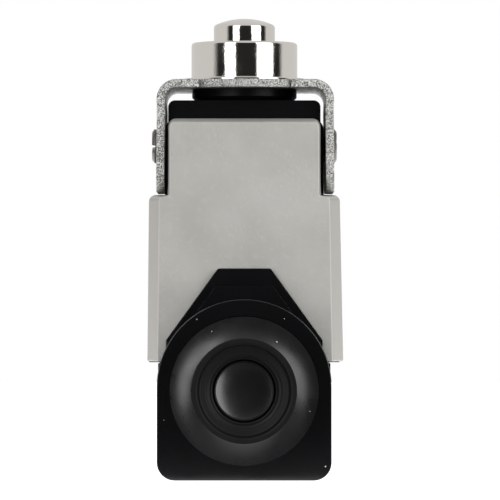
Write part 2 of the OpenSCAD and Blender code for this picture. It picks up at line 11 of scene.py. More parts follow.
import bmesh
import bpy
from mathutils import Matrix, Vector


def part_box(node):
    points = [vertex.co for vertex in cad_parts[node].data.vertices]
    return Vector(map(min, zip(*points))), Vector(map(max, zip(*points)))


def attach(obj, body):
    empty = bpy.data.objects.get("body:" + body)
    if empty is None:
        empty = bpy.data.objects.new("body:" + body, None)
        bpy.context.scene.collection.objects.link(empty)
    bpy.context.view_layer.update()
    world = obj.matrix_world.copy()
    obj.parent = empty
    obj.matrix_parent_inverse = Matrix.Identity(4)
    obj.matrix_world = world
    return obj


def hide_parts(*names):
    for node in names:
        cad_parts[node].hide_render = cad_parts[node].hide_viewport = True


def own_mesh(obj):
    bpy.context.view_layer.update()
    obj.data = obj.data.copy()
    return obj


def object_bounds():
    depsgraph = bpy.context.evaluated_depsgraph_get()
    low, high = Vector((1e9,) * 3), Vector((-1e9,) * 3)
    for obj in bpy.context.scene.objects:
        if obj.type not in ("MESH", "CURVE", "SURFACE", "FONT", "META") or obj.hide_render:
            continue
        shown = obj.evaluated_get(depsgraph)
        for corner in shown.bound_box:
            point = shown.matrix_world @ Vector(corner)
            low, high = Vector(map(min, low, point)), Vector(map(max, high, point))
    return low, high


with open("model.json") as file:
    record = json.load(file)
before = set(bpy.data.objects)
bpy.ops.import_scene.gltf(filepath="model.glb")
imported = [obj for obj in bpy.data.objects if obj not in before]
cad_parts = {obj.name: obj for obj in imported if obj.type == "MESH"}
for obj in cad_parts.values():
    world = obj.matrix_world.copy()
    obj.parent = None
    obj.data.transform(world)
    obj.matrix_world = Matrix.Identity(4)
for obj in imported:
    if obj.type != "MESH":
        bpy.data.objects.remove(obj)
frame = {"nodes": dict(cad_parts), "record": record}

cad_low, cad_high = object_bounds()
print("CAD box, mm:", [round(1000 * v, 1) for v in (*cad_low, *cad_high)])

# %% [markdown]
# ## Millimetres and rounded outlines
# Small parts are easier to think about in millimetres, so shapes are worked out in them and scaled
# once, when a mesh is made. Hardly any corner of a moulded or turned part is sharp. One helper
# therefore swaps each corner of a path for an arc, and every outline and profile below uses it.

# %% Outline helpers
MM = 0.001


def box_mm(node):
    """Lowest and highest corner of a CAD node, in millimetres."""
    low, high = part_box(node)
    return Vector(low) / MM, Vector(high) / MM


def rounded(points, radii, closed=True, steps=6):
    """The path with an arc in place of each corner; radii is one number or one per point."""
    if not isinstance(radii, (list, tuple)):
        radii = [radii] * len(points)
    path = []
    for i, (point, radius) in enumerate(zip(points, radii)):
        here = Vector(point)
        if radius == 0 or (not closed and i in (0, len(points) - 1)):
            path.append(here)
            continue
        back = Vector(points[i - 1]) - here
        ahead = Vector(points[(i + 1) % len(points)]) - here
        half = back.angle(ahead) / 2
        cut = min(radius / math.tan(half), 0.49 * back.length, 0.49 * ahead.length)
        middle = (back.normalized() + ahead.normalized()).normalized()
        centre = here + middle * (cut / math.cos(half))
        first = here + back.normalized() * cut - centre
        last = here + ahead.normalized() * cut - centre
        turn = first.angle(last)
        for k in range(steps + 1):
            share = k / steps
            arm = first * math.sin((1 - share) * turn) + last * math.sin(share * turn)
            path.append(centre + arm / math.sin(turn))
    return path


def resampled(path, count):
    """The closed path as count evenly spaced points."""
    loop = list(path) + [path[0]]
    lengths = [0]
    for a, b in zip(loop, loop[1:]):
        lengths.append(lengths[-1] + (b - a).length)
    spots, k = [], 0
    for i in range(count):
        want = lengths[-1] * i / count
        while lengths[k + 1] < want:
            k += 1
        share = (want - lengths[k]) / (lengths[k + 1] - lengths[k])
        spots.append(loop[k].lerp(loop[k + 1], share))
    return spots


print("a 10 mm square with 2 mm corners has", len(rounded([(0, 0), (10, 0), (10, 10), (0, 10)], 2)), "points")

# %% [markdown]
# ## Skins and turned parts
# Nearly every piece is a skin stretched over a row of rings, the way a boat's hull is planked over its
# frames. Turned parts are the same thing with circles for rings. The faces are shaded smooth, edges
# sharper than 35 degrees stay crisp, and a Weighted Normal modifier keeps large flat faces flat right
# up to their rounded edges.

# %% Mesh helpers
CRISP = math.radians(35)


def shape(name, mesh):
    """An object from a finished bmesh, smooth shaded with crisp edges."""
    bmesh.ops.recalc_face_normals(mesh, faces=mesh.faces)
    data = bpy.data.meshes.new(name)
    mesh.to_mesh(data)
    mesh.free()
    data.shade_smooth()
    data.set_sharp_from_angle(angle=CRISP)
    made = bpy.data.objects.new(name, data)
    bpy.context.scene.collection.objects.link(made)
    even = made.modifiers.new("Even shading", "WEIGHTED_NORMAL")
    even.keep_sharp = True
    return made


def skin(name, rings, wrap=False):
    """A closed skin over rings of points in millimetres; wrap joins the last ring to the first."""
    mesh = bmesh.new()
    rows = [[mesh.verts.new(Vector(p) * MM) for p in ring] for ring in rings]
    pairs = list(zip(rows, rows[1:]))
    if wrap:
        pairs.append((rows[-1], rows[0]))
    else:
        mesh.faces.new(rows[0])
        mesh.faces.new(rows[-1])
    for near, far in pairs:
        for i in range(len(near)):
            k = (i + 1) % len(near)
            mesh.faces.new((near[i], near[k], far[k], far[i]))
    return shape(name, mesh)


def turned(name, profile, place, wrap=False, segments=144):
    """A part turned from a profile of (radius, height) points; place maps x, y, height to a point."""
    rings = []
    for radius, height in profile:
        ring = []
        for i in range(segments):
            angle = math.tau * i / segments
            ring.append(place(radius * math.cos(angle), radius * math.sin(angle), height))
        rings.append(ring)
    return skin(name, rings, wrap)


def upright(x, y, height):
    """Places a turned part on the plunger's axis."""
    return (x, y, height)


def finish_piece(piece, body, slot, *nodes):
    """Lets a piece ride on its body and stand for its CAD nodes."""
    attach(piece, body)
    if nodes:
        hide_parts(*nodes)
    size = piece.dimensions / MM
    print(f"{piece.name}: {size.x:.1f} x {size.y:.1f} x {size.z:.1f} mm, {len(piece.data.polygons)} faces")
    return piece


print("helpers ready")

# %% [markdown]
# ## The head bushing
# A turned brass bushing, nickel plated, with a thin flange that clamps the yoke. It could be a plain
# tube, but then its edges would catch no light. Its profile is drawn as half a section instead, with
# a small radius on every edge, and spun round the plunger's axis. Inside, it has a groove for the
# wiper ring and a counterbore for the plunger's stop collar.

# %% Head bushing
bush_low, bush_high = box_mm("plunger_bushing")
yoke_low, yoke_high = box_mm("head_yoke")
plunger_low, plunger_high = box_mm("plunger")
spigot_r = 6.9           # radius of the bushing below its flange
stem = 4.9               # radius of the plunger
fit = 0.06               # gap between plunger and bushing
collar_r = 8.5           # radius of the bushing above its flange
flange_r = bush_high.x
flange_z = yoke_high.z
wiper_low, wiper_high = box_mm("wiper_ring")
stop_r = plunger_high.x + 0.2            # the counterbore that the plunger's stop collar slides in
stop_z = plunger_low.z + 1.22            # its end, where the collar comes to rest
groove_r, groove_low, groove_high = wiper_high.x + 0.05, wiper_low.z - 0.05, wiper_high.z + 0.05
section = [
    (stop_r, bush_low.z), (spigot_r, bush_low.z), (spigot_r, flange_z + 0.01), (flange_r, flange_z + 0.01),
    (flange_r, flange_z + 0.5), (collar_r, flange_z + 0.5), (collar_r, bush_high.z),
    (stem + fit, bush_high.z), (stem + fit, groove_high), (groove_r, groove_high),
    (groove_r, groove_low), (stem + fit, groove_low), (stem + fit, stop_z), (stop_r, stop_z),
]
radii = [0.1, 0.2, 0, 0.1, 0.2, 0.15, 0.5, 0.3, 0, 0, 0, 0, 0, 0]
bushing = turned("bushing", rounded(section, radii), upright, wrap=True, segments=192)
finish_piece(bushing, "housing", "nickel", "plunger_bushing")

# %% [markdown]
# ## The plunger
# The pin that a cam presses. Its end is a shallow dome with a rounded shoulder, so the profile follows
# an arc of the dome's large radius and then a small one. It rides on the plunger's own body.

# %% Plunger
DOME = 11.5              # radius of the domed end
SHOULDER = 0.9           # radius between the dome and the side


def dome_height(r):
    """How far the dome has dropped at a distance r from the axis."""
    return DOME - math.sqrt(DOME * DOME - r * r)


top = plunger_high.z
lip_r, lip_h = plunger_high.x, 1.2
dome = [(r, top - dome_height(r)) for r in [0.15 + 0.5 * i for i in range(9)]]
dome.append((stem, top - dome_height(stem)))
side = [(3.2, plunger_low.z), (lip_r, plunger_low.z), (lip_r, plunger_low.z + lip_h)]
side += [(stem, plunger_low.z + lip_h)]
profile = rounded(side + dome[::-1], [0, 0.15, 0.15, 0.1, SHOULDER] + [0] * 9, closed=False)
plunger = turned("plunger_pin", profile, upright, segments=192)
finish_piece(plunger, "plunger", "nickel", "plunger")

# %% [markdown]
# ## The collar under the yoke
# A black ring that seals the bushing to the housing. Only its chamfered lower edge catches light.

# %% Head collar
ring_low, ring_high = box_mm("head_collar")
ring_r = ring_high.x
CHAMFER = 0.75
section = [
    (spigot_r + 0.05, ring_low.z), (ring_r - CHAMFER, ring_low.z), (ring_r, ring_low.z + CHAMFER),
    (ring_r, ring_high.z), (spigot_r + 0.05, ring_high.z),
]
collar = turned("collar", rounded(section, [0, 0.12, 0.12, 0.1, 0]), upright, wrap=True)
finish_piece(collar, "housing", "black_rubber", "head_collar")

# %% [markdown]
# ## The yoke
# The head is held by a strap of zinc-coated sheet, punched flat and bent into a U. The mesh is made
# the same way. A flat blank is described by how wide the strap is at each distance along it, with ears
# in the middle and rounded corners at its ends. Each cross-section is a thin rectangle with broken
# edges, which is carried along the bent path.

# %% Yoke
SHEET = 1.35             # thickness of the sheet
BEND = 3.15              # outer radius of the two bends
SPLAY = 0.15             # how far each leg leans out at its end
SHIFT = 0.15             # how far off centre the yoke was fitted
EAR = 14.0               # radius of the ears round the bushing
EAR_END = 6.95           # where the ears end along the strap
NICK = 0.35              # width of the relief nick beside each ear
CORNER = 2.5             # radius of the legs' corners
strap = 12.0             # half the strap's depth
half_out = yoke_high.x
leg = yoke_high.z - yoke_low.z - BEND
flat = half_out - BEND
bend_length = BEND * math.pi / 2


def path_point(s):
    """(x, z, nx, nz) of the strap's outer face at a distance s from the middle of the plate."""
    side, s = (1 if s >= 0 else -1), abs(s)
    if s <= flat:
        return side * s, yoke_high.z, 0.0, 1.0
    if s <= flat + bend_length:
        angle = (s - flat) / BEND
        nx, nz = math.sin(angle), math.cos(angle)
        return side * (flat + BEND * nx), yoke_high.z - BEND + BEND * nz, side * nx, nz
    down = s - flat - bend_length
    lean = SPLAY * (down / leg - 0.4)
    return side * (half_out + lean), yoke_high.z - BEND - down, side * 1.0, 0.0


def half_width(s):
    """Half the strap's depth at a distance s from the middle of the plate."""
    s = abs(s)
    from_end = flat + bend_length + leg - s
    wide = strap
    if s < EAR_END:
        wide = math.sqrt(EAR * EAR - s * s)
    elif s < EAR_END + NICK:
        wide = strap - 0.45
    if from_end < CORNER:
        wide -= CORNER - math.sqrt(max(0.0, CORNER * CORNER - (CORNER - from_end) ** 2))
    return wide


def cross_section(s):
    """The ring of points round the strap at s."""
    x, z, nx, nz = path_point(s)
    wide = half_width(s)
    corners = [(-wide, 0), (wide, 0), (wide, -SHEET), (-wide, -SHEET)]
    ring = []
    for y, depth in rounded(corners, 0.18, steps=3):
        ring.append((x + nx * depth + SHIFT, y, z + nz * depth))
    return ring


end = flat + bend_length + leg

stops = [end - CORNER * (1 - math.cos(math.radians(a))) for a in range(0, 91, 10)]
stops = [s for s in stops if s < end - 0.001] + [end]
stops += [flat + bend_length * i / 12 for i in range(13)]
stops += [flat + bend_length + leg * i / 8 for i in range(1, 7)]
stops += [EAR_END * i / 12 - 0.001 for i in range(1, 13)] + [0, EAR_END + 0.03]
stops += [EAR_END + NICK - 0.03, EAR_END + NICK, (EAR_END + flat) / 2]
stops = sorted({round(s, 4) for s in stops})
both = [-s for s in reversed(stops) if s > 0] + stops
yoke = skin("yoke", [cross_section(s) for s in both])
print("the bent strap has", len(both), "cross-sections")

# %% [markdown]
# ## The yoke's holes
# The bushing passes through the middle of the yoke and a screw through each leg. The holes are taken
# out with Boolean modifiers that are applied at once, so that they are real geometry.

# %% Cutting helpers and the yoke's holes


def baked(piece):
    """Applies a piece's modifiers to its mesh."""
    graph = bpy.context.evaluated_depsgraph_get()
    data = bpy.data.meshes.new_from_object(piece.evaluated_get(graph))
    piece.modifiers.clear()
    piece.data = data
    return piece


def block(name, low, high):
    """A plain cutter between two corners, in millimetres."""
    rings = []
    for z in (low[2], high[2]):
        rings.append([(low[0], low[1], z), (high[0], low[1], z), (high[0], high[1], z), (low[0], high[1], z)])
    return skin(name, rings)


def cut(piece, *cutters):
    """Takes the cutters out of the piece and removes them."""
    for cutter in cutters:
        step = piece.modifiers.new("Cut", "BOOLEAN")
        step.operation = "DIFFERENCE"
        step.solver = "EXACT"
        step.object = cutter
    baked(piece)
    for cutter in cutters:
        bpy.data.objects.remove(cutter)
    piece.data.shade_smooth()
    piece.data.set_sharp_from_angle(angle=CRISP)
    even = piece.modifiers.new("Even shading", "WEIGHTED_NORMAL")
    even.keep_sharp = True
    return piece


screws_low, screws_high = box_mm("yoke_screws")
screw_z = (screws_low.z + screws_high.z) / 2


def across(x, y, height):
    """Places a turned part on the screws' axis."""
    return (height, x, screw_z + y)


hole_r, screw_hole_r = spigot_r + 0.15, 1.6
bushing_hole = turned("bushing_hole", [(hole_r, yoke_high.z - 3), (hole_r, yoke_high.z + 1)], upright)
reach = half_out + 1
screw_hole = turned("screw_hole", [(screw_hole_r, -reach), (screw_hole_r, reach)], across, segments=48)
cut(yoke, bushing_hole, screw_hole)
finish_piece(yoke, "housing", "galvanised_steel", "head_yoke")

# %% [markdown]
# ## The yoke's screws
# Two slotted cheese-head screws hold the legs. Each is turned like the other round parts, and its slot
# is then cut across the head.

# %% Yoke screws
head_r = (screws_high.z - screws_low.z) / 2
seat = half_out + 0.03
proud = screws_high.x - seat
screw_pieces = []
for side, tilt in ((-1, 12), (1, -25)):
    section = [
        (1.5, -3.5), (1.5, 0), (head_r, 0), (head_r, proud * 0.55), (head_r * 0.82, proud), (0.3, proud),
    ]
    profile = rounded(section, [0, 0.1, 0.08, 0.2, 0.5, 0], closed=False)

    def sideways(x, y, height, side=side):
        return (side * (seat + height), x, screw_z + y)

    screw = turned("yoke_screw_" + ("left" if side < 0 else "right"), profile, sideways, segments=72)
    slot = block("slot", (-5, -4, -0.6), (5, 4, 0.6))
    slot.location = Vector((side * (seat + proud + 5 - 0.55), 0, screw_z)) * MM
    slot.rotation_euler = (math.radians(tilt), 0, 0)
    bpy.context.view_layer.update()
    cut(screw, slot)
    screw_pieces.append(screw)
finish_piece(screw_pieces[0], "housing", "zinc_screw", "yoke_screws")
finish_piece(screw_pieces[1], "housing", "zinc_screw")

# %% [markdown]
# ## The grey cover
# A thin moulding that closes the front. Seen from the front it is a narrow tab between the yoke's
# legs that widens below a shoulder, with a notch at the bottom for the nose. A moulding needs draft to
# leave its mould, so its side walls splay towards the back, which shows as a darker strip beside the
# face, and its lower right corner has warped outwards a little. Three outlines with the same number of
# points describe it: the front face, the back end and the inside. The skin runs from the face round a
# soft edge to the back end and returns along the inside.

# %% Cover
cover_low, cover_high = box_mm("front_cover")
shoulder = yoke_low.z - 0.4
half_low, half_high, half_tab = cover_high.x, cover_high.x - 0.25, 12.15
notch = [(12.28, 21.75), (4.15, 33.0)]
WALL = 1.75              # thickness of the moulding


def cover_outline(side, tab, top_in, shoulder_in, low_in, notch_out, radii, spread=0.0):
    """The cover's outline, moved in by a different amount on each kind of edge."""
    right = [
        (notch[0][0] + notch_out, cover_low.z + low_in),
        (half_low - side, cover_low.z + low_in),
        (half_high - side, shoulder - shoulder_in),
        (half_tab - tab, shoulder - shoulder_in),
        (half_tab - tab, cover_high.z - top_in),
    ]
    left = [(-x, z) for x, z in reversed(right)]
    right[1] = (right[1][0] + spread, right[1][1])
    inner = [(-notch[0][0] - notch_out, notch[0][1]), (-notch[1][0], notch[1][1] + notch_out)]
    inner += [(-x, z) for x, z in reversed(inner)]
    points = right + left + inner
    corner = radii + radii[::-1] + [0.2, 0.25, 0.25, 0.2]
    return rounded(points, corner, steps=8)


# The flange's end at the back, the front face, and the inside of the wall
back_end = cover_outline(0, 0, 0, 0, 0, 0, [0.2, 0.25, 1.1, 0.2, 1.3], spread=0.3)
face = cover_outline(1.95, 0.5, 1.0, 0.55, 0.1, 0.15, [0.2, 0.25, 0.7, 0.4, 0.7], spread=0.2)
inside = cover_outline(2.1, 1.75, 1.75, 1.75, 1.6, 0.6, [0.2, 0.25, 0.4, 0.4, 0.4])


def is_notch(point):
    """Whether a point of the outline belongs to the notch for the nose."""
    return abs(point.x) < notch[0][0] + 0.01 and point.y < notch[1][1] + 0.2


def back_of(point):
    """Where the cover's wall ends at the back."""
    if is_notch(point):
        return cover_low.y + 2.4 if point.y > cover_low.z + 0.4 else cover_high.y
    return cover_high.y if point.y < shoulder + 0.05 else -10.04


def edge_of(outer, inner):
    """Half section of the rounded edge: (share of the way out, distance behind the face)."""
    draft = (outer - inner).length
    turn = min(0.9, 0.45 * draft + 0.1) if abs(outer.x) < half_tab + 0.3 else 0.22 * draft
    curve = []
    for k in range(9):
        angle = math.pi / 2 * k / 8
        curve.append((turn * math.sin(angle) / draft * 0.8, turn * (1 - math.cos(angle))))
    return curve


curves = [edge_of(o, i) for o, i in zip(back_end, face)]
rings = []
for k in range(9):
    ring = []
    for outer, inner, curve in zip(back_end, face, curves):
        share, depth = curve[k]
        spot = inner.lerp(outer, share)
        ring.append((spot.x, cover_low.y + depth, spot.y))
    rings.append(ring)
rings.append([(o.x, back_of(o), o.y) for o in back_end])
rings.append([(i.x, back_of(o), i.y) for o, i in zip(back_end, inside)])
rings.append([(i.x, cover_low.y + WALL, i.y) for i in inside])
cover = skin("cover", rings)
finish_piece(cover, "housing", "grey_plastic", "front_cover")

# %% [markdown]
# ## The black housing
# The housing keeps its CAD mesh, because its inside has to stay open for the works. A Weld modifier
# joins the mesh along its creases, and a narrow Bevel then breaks every sharp edge, as a mould does.

# %% Housing
housing = frame["nodes"]["base_housing"]


def soften(node, width):
    """Breaks the sharp edges of a CAD node."""
    weld = node.modifiers.new("Weld", "WELD")
    weld.merge_threshold = 0.002 * MM
    bevel = node.modifiers.new("Broken edges", "BEVEL")
    bevel.width = width * MM
    bevel.segments = 3
    bevel.limit_method = "ANGLE"
    bevel.angle_limit = math.radians(40)
    bevel.harden_normals = True
    bevel.use_clamp_overlap = True


soften(housing, 0.3)
shown = housing.evaluated_get(bpy.context.evaluated_depsgraph_get())
print("housing:", len(housing.data.polygons), "faces in CAD,", len(shown.data.polygons), "with soft edges")

# %% [markdown]
# ## The gland cap
# The black block under the cover, arched above and square below, with a round mouth. The skin goes
# round like a picture frame: along the outside, over a rounded front edge, across the face and back
# down the mouth. Points on the mouth's circle are paired with points on the outline by their angle.

# %% Gland cap
cap_low, cap_high = box_mm("gland_cap")
plug_low, plug_high = box_mm("blanking_plug")
bung_low = box_mm("cable_bushing")[0]
axis_z = (plug_low.z + plug_high.z) / 2
arch_r = cap_high.x
arch_z = cap_high.z - arch_r
MOUTH = 11.6             # radius of the mouth
EDGE_R = 0.14            # radius of the front edge
POINTS = 288             # points along each ring


def cap_outline(inset):
    """The cap's outline, moved in by inset."""
    r = arch_r - inset
    corner = 2.8 - inset
    points = []
    for i in range(49):
        angle = math.pi * i / 48
        points.append(Vector((r * math.cos(angle), arch_z + r * math.sin(angle))))
    low = [(-r, arch_z), (-r, inset), (r, inset), (r, arch_z)]
    points += rounded(low, [0, corner, corner, 0], closed=False, steps=10)[1:-1]
    return resampled(points, POINTS)


def mouth_ring(radius, y, outline):
    """A ring on the cable's axis, paired with the outline by angle."""
    ring = []
    for point in outline:
        angle = math.atan2(point.y - axis_z, point.x)
        ring.append((radius * math.cos(angle), y, axis_z + radius * math.sin(angle)))
    return ring


front, back = cap_low.y, cap_high.y
outline = cap_outline(0)
rings = [mouth_ring(13.0, back, outline), [(p.x, back, p.y) for p in cap_outline(0.15)]]
rings.append([(p.x, back - 0.15, p.y) for p in outline])
for i in range(7):
    angle = math.pi / 2 * i / 6
    inset = EDGE_R * (1 - math.cos(angle))
    y = front + EDGE_R * (1 - math.sin(angle))
    rings.append([(p.x, y, p.y) for p in cap_outline(inset)])
for radius, y in rounded([(13.2, front), (MOUTH + 0.03, front), (MOUTH, front + 0.03), (MOUTH, front + 5.4),
                          (12.6, front + 5.4), (12.6, back)], 0, closed=False)[1:]:
    rings.append(mouth_ring(radius, y, outline))
cap = skin("gland_block", rings, wrap=True)
finish_piece(cap, "housing", "black_plastic", "gland_cap")

# %% [markdown]
# ## The rubber cable bushing
# A soft boot that swells out of the cap. Its front is a ring, gently hollow like the bell of a horn,
# which rises to a flat lip round a stepped mouth. The hollow is what gathers the light, so its slope is
# set point by point, from nearly flat at the rim to about twenty degrees under the lip.

# %% Cable bushing


def along_cable(x, y, height):
    """Places a turned part on the cable's axis, with its height pointing to the front."""
    return (x, -height, axis_z + y)


tip = -bung_low.y
base = -cap_low.y
hole = (plug_high.x - plug_low.x) / 2
LIP, RIM = 8.15, 11.5    # radii between which the ring is hollow
SLOPE, FLAT = 23, 1      # its slope in degrees under the lip and at the rim
STEPS = 24
hollow, height = [], tip - 0.02
for i in range(STEPS + 1):
    share = i / STEPS
    hollow.append((LIP + (RIM - LIP) * share, height))
    height -= math.tan(math.radians(SLOPE + (FLAT - SLOPE) * share)) * (RIM - LIP) / STEPS
low_rim = hollow[-1][1]
boot = [(RIM - 0.3, base - 5.0), (RIM - 0.15, base - 4.6), (RIM - 0.1, low_rim - 1.2)]
mouth = rounded([hollow[0], (LIP - 0.03, tip), (7.25, tip), (6.95, tip - 0.8), (6.0, tip - 0.95),
                 (5.75, tip - 1.15), (5.3, tip - 1.3), (5.2, tip - 1.75), (hole + 0.02, tip - 1.9),
                 (hole + 0.02, tip - 6)],
                [0, 0.03, 0.4, 0.4, 0.4, 0.4, 0.2, 0.2, 0.15, 0], closed=False)
profile = boot + hollow[::-1][:-1] + [tuple(p) for p in mouth]
bung = turned("rubber_bushing", profile + [(hole + 0.02, base - 5.0)], along_cable, wrap=True, segments=192)
finish_piece(bung, "housing", "black_rubber", "cable_bushing")

# %% [markdown]
# ## The blanking plug
# Until a cable is fitted, a plug closes the hole. Its face is dished inside a narrow chamfered rim. It
# was pushed in a little askew, so one side of the dish is steeper to the eye and catches the light.

# %% Blanking plug
RIM_R = 4.56             # radius of the dish
EDGE_SLOPE = 15          # slope of the dish at its rim, in degrees
POWER = 2.6              # how quickly it steepens towards the rim
LEAN = 7                 # degrees that the plug leans
LEAN_WAY = 32            # direction the face turns to, in degrees above the right


def plug_place(x, y, height):
    """Places the plug on the cable's axis, with its front end leaning."""
    towards = x * math.cos(math.radians(LEAN_WAY)) + y * math.sin(math.radians(LEAN_WAY))
    if height > face_y - 3:
        height -= math.tan(math.radians(LEAN)) * towards
    return along_cable(x, y, height)


face_y = -plug_low.y - 0.6
profile = [(3.4, face_y - 7.0), (hole - 0.02, face_y - 7.0), (hole - 0.02, face_y - 0.3),
           (hole - 0.1, face_y - 0.15), (RIM_R + 0.03, face_y)]
depth = math.tan(math.radians(EDGE_SLOPE)) * RIM_R / POWER
for i in range(24):
    share = 1 - i / 24.5
    profile.append((RIM_R * share, face_y - 0.03 - depth * (1 - share ** POWER)))
plug = turned("plug", profile, plug_place, segments=144)
finish_piece(plug, "housing", "black_rubber", "blanking_plug")

# %% [markdown]
# ## The springs that shorten
# Two springs shorten as the plunger goes down: the return spring under it, and the small spring over
# the normally open bridge. Each is a round wire swept along a helix that fills the CAD spring's box.


def spring(name, node, body, wire_r, turns, sides=10, steps=28):
    """A coil spring of round wire that fills the box of a CAD node and rides on a body."""
    low, high = box_mm(node)
    middle = (low + high) / 2
    length = high.z - low.z
    coil_r = (high.x - low.x) / 2 - wire_r
    rings = []
    for i in range(turns * steps + 1):
        share = i / (turns * steps)
        out = Vector((math.cos(math.tau * turns * share), math.sin(math.tau * turns * share), 0))
        centre = Vector((middle.x, middle.y, low.z + wire_r + (length - 2 * wire_r) * share)) + out * coil_r
        ring = []
        for k in range(sides):
            angle = math.tau * k / sides
            ring.append(centre + wire_r * (out * math.cos(angle) + Vector((0, 0, math.sin(angle)))))
        rings.append(ring)
    coil = skin(name, rings)
    finish_piece(coil, body, "spring_steel", node)
    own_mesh(coil)
    return coil


return_coil = spring("return_coil", "return_spring", "housing", 0.4, 5)
bridge_coil = spring("bridge_coil", "no_contact_spring", "plunger", 0.2, 4, 8)

# %% [markdown]
# ## Shader helpers
# Every finish is a small node graph. Effects that several of them share are node groups with named
# sockets, built once. They use object coordinates, which are metres in the model's own frame, so a
# grain keeps its true size on every part.

# %% Node helpers


def wire(tree, source, target):
    tree.links.new(source, target)


def effect(name, inputs, outputs):
    """An empty node group with float inputs {name: default} and outputs."""
    tree = bpy.data.node_groups.new(name, "ShaderNodeTree")
    for label, value in inputs.items():
        socket = tree.interface.new_socket(label, in_out="INPUT", socket_type="NodeSocketFloat")
        socket.default_value = value
    for label in outputs:
        tree.interface.new_socket(label, in_out="OUTPUT", socket_type="NodeSocketFloat")
    start = tree.nodes.new("NodeGroupInput")
    finish = tree.nodes.new("NodeGroupOutput")
    return tree, start.outputs, finish.inputs


def noise_node(tree, scale=None, detail=3.0, stretch=None):
    """Noise on object coordinates; stretch scales the axes first."""
    place = tree.nodes.new("ShaderNodeTexCoord")
    noise = tree.nodes.new("ShaderNodeTexNoise")
    noise.inputs["Detail"].default_value = detail
    if scale is not None:
        noise.inputs["Scale"].default_value = scale
    source = place.outputs["Object"]
    if stretch:
        squeeze = tree.nodes.new("ShaderNodeMapping")
        squeeze.inputs["Scale"].default_value = stretch
        wire(tree, source, squeeze.inputs["Vector"])
        source = squeeze.outputs["Vector"]
    wire(tree, source, noise.inputs["Vector"])
    return noise


def remap(tree, source, low, high, to_low=0.0, to_high=1.0):
    """A Map Range node; low and high are numbers or sockets."""
    node = tree.nodes.new("ShaderNodeMapRange")
    wire(tree, source, node.inputs["Value"])
    for label, value in (("From Min", low), ("From Max", high), ("To Min", to_low), ("To Max", to_high)):
        if isinstance(value, (int, float)):
            node.inputs[label].default_value = value
        else:
            wire(tree, value, node.inputs[label])
    return node.outputs["Result"]


def math_node(tree, operation, a, b):
    node = tree.nodes.new("ShaderNodeMath")
    node.operation = operation
    for socket, value in zip(node.inputs, (a, b)):
        if isinstance(value, (int, float)):
            socket.default_value = value
        else:
            wire(tree, value, socket)
    return node.outputs["Value"]


print("node helpers ready")

# %% [markdown]
# ## Fine grain
# Moulded plastic, rubber and zinc all have a texture too fine to model. Noise gives it as a height, and
# each material feeds that to a Bump node with its own depth.

# %% Fine grain
grain_group, given, give = effect("Fine grain", {"Scale": 3000.0, "Roughness": 0.6}, ["Height"])
noise = noise_node(grain_group, detail=4.0)
wire(grain_group, given["Scale"], noise.inputs["Scale"])
wire(grain_group, given["Roughness"], noise.inputs["Roughness"])
wire(grain_group, noise.outputs["Fac"], give["Height"])
print("made", grain_group.name)

# %% [markdown]
# ## Mottling
# No real surface has one even colour or gloss. This mask is soft noise that is cut between two levels:
# levels close together give hard patches, such as the crystals on zinc, and levels far apart a haze.

# %% Mottling
mottle_group, given, give = effect("Mottling", {"Scale": 120.0, "Low": 0.35, "High": 0.65}, ["Mask"])
noise = noise_node(mottle_group, detail=5.0)
wire(mottle_group, given["Scale"], noise.inputs["Scale"])
wire(mottle_group, remap(mottle_group, noise.outputs["Fac"], given["Low"], given["High"]), give["Mask"])
print("made", mottle_group.name)

# %% [markdown]
# ## Dust
# Specks of dust show on black parts. Voronoi cells give evenly spread centres: a speck is what lies
# close to a centre, and the cell's random colour picks the few cells that have one.

# %% Dust
dust_group, given, give = effect("Dust", {"Scale": 400.0, "Size": 0.05, "Share": 0.1}, ["Mask"])
place = dust_group.nodes.new("ShaderNodeTexCoord")
cells = dust_group.nodes.new("ShaderNodeTexVoronoi")
cells.feature = "F1"
wire(dust_group, place.outputs["Object"], cells.inputs["Vector"])
wire(dust_group, given["Scale"], cells.inputs["Scale"])
speck = math_node(dust_group, "LESS_THAN", cells.outputs["Distance"], given["Size"])
split = dust_group.nodes.new("ShaderNodeSeparateColor")
wire(dust_group, cells.outputs["Color"], split.inputs["Color"])
chosen = math_node(dust_group, "LESS_THAN", split.outputs["Red"], given["Share"])
wire(dust_group, math_node(dust_group, "MULTIPLY", speck, chosen), give["Mask"])
print("made", dust_group.name)

# %% [markdown]
# ## Scratches
# Handling leaves fine scratches in patches. Noise that is stretched along one axis and cut near its
# peaks gives short thin strokes. It is turned first, so that they can run at a slant, and a second
# noise keeps them to some places.

# %% Scratches
scratch_group, given, give = effect("Scratches", {"Scale": 1500.0, "Slant": 0.5, "Sparse": 0.62}, ["Mask"])
place = scratch_group.nodes.new("ShaderNodeTexCoord")
turn = scratch_group.nodes.new("ShaderNodeVectorRotate")
turn.rotation_type = "Y_AXIS"
wire(scratch_group, place.outputs["Object"], turn.inputs["Vector"])
wire(scratch_group, given["Slant"], turn.inputs["Angle"])
squeeze = scratch_group.nodes.new("ShaderNodeMapping")
squeeze.inputs["Scale"].default_value = (1.0, 1.0, 0.16)
wire(scratch_group, turn.outputs["Vector"], squeeze.inputs["Vector"])
lines = scratch_group.nodes.new("ShaderNodeTexNoise")
lines.inputs["Detail"].default_value = 1.0
wire(scratch_group, squeeze.outputs["Vector"], lines.inputs["Vector"])
wire(scratch_group, given["Scale"], lines.inputs["Scale"])
thin = remap(scratch_group, lines.outputs["Fac"], given["Sparse"], math_node(
    scratch_group, "ADD", given["Sparse"], 0.08))
patches = noise_node(scratch_group, scale=110.0, detail=2.0)
there = remap(scratch_group, patches.outputs["Fac"], 0.42, 0.6)
wire(scratch_group, math_node(scratch_group, "MULTIPLY", thin, there), give["Mask"])
print("made", scratch_group.name)
